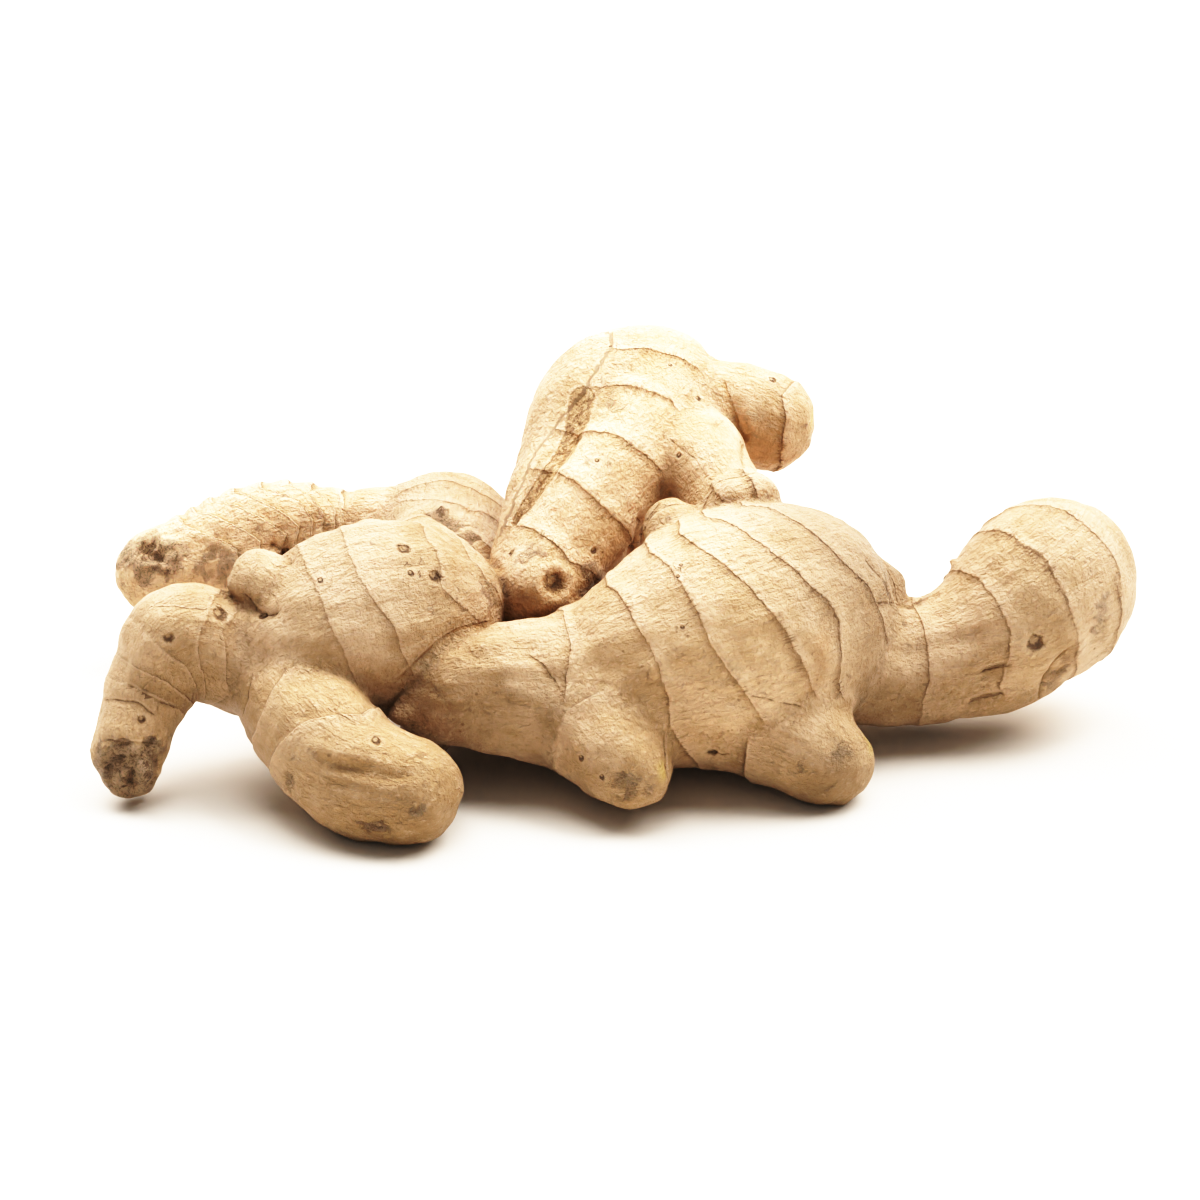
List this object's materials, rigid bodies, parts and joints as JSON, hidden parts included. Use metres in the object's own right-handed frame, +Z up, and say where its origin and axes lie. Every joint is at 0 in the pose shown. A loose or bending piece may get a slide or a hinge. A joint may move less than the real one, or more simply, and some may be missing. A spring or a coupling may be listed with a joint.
{
  "type": "ginger root",
  "caption": "Whole fresh ginger rhizome, one branching hand of stubby rounded fingers with ringed pale tan skin, lying on its underside.",
  "frame": {"origin": "centre of the bounding box's footprint, on the surface that the hand rests on", "axes": "+X along the length of the hand, towards the long single finger; +Y towards the back, away from the two short front fingers; +Z up, the thinnest way through the hand"},
  "size_m": [0.2206, 0.1304, 0.0731],
  "materials": {
    "skin": null
  },
  "bodies": {
    "root": {"rhizome": "skin"}
  },
  "joints": []
}
